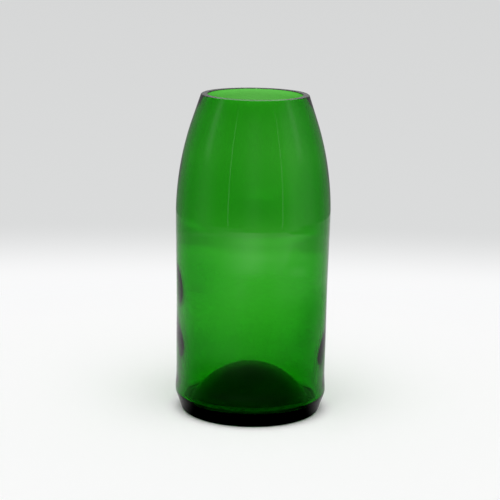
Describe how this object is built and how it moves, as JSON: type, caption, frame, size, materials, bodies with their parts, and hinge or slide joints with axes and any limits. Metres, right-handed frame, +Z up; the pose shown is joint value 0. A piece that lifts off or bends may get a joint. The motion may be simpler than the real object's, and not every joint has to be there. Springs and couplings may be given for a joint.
{
  "type": "glass vase",
  "caption": "Round green glass vase with an ogive shoulder, a flat ground mouth, a label-panel body and a pushed-up base.",
  "frame": {"origin": "middle of the foot ring, on the surface that the vase stands on", "axes": "+Z up along the vase's axis; the pictured front faces -Y, with +X to the right"},
  "size_m": [0.08, 0.08, 0.166],
  "materials": {
    "green_glass": "clear emerald green bottle glass, smooth moulded outside, slightly wavy blown inside, finely ground and polished rim"
  },
  "bodies": {
    "root": {"glass_vase": "green_glass"}
  },
  "joints": []
}
